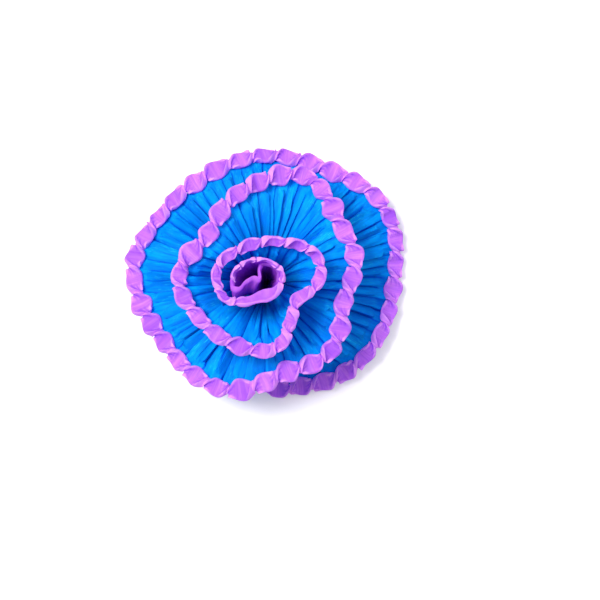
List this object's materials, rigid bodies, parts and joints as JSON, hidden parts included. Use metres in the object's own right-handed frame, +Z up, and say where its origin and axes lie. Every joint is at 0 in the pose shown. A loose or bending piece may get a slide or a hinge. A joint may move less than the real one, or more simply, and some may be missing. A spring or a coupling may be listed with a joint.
{
  "type": "tissue paper pom pom",
  "caption": "Round flower-like paper pom pom: a pleated blue crepe strip wound round a rolled lilac heart, with a twisted lilac edging along its rim.",
  "frame": {"origin": "middle of the flat foot of the bound neck, on the surface that the pom pom stands on", "axes": "+Z up along the neck's axis to the heart, +X across the pom pom's widest side, +Y its upper side in the picture"},
  "size_m": [0.1232, 0.1107, 0.0652],
  "materials": {
    "heart_crepe": "matte crepe paper",
    "blue_crepe": "matte crepe paper",
    "lilac_crepe": "matte crepe paper",
    "green_wire": "satin lacquer"
  },
  "bodies": {
    "root": {"heart_petal": "heart_crepe", "petal_strip": "blue_crepe", "edging_strip": "lilac_crepe", "binding_wire": "green_wire"}
  },
  "joints": []
}
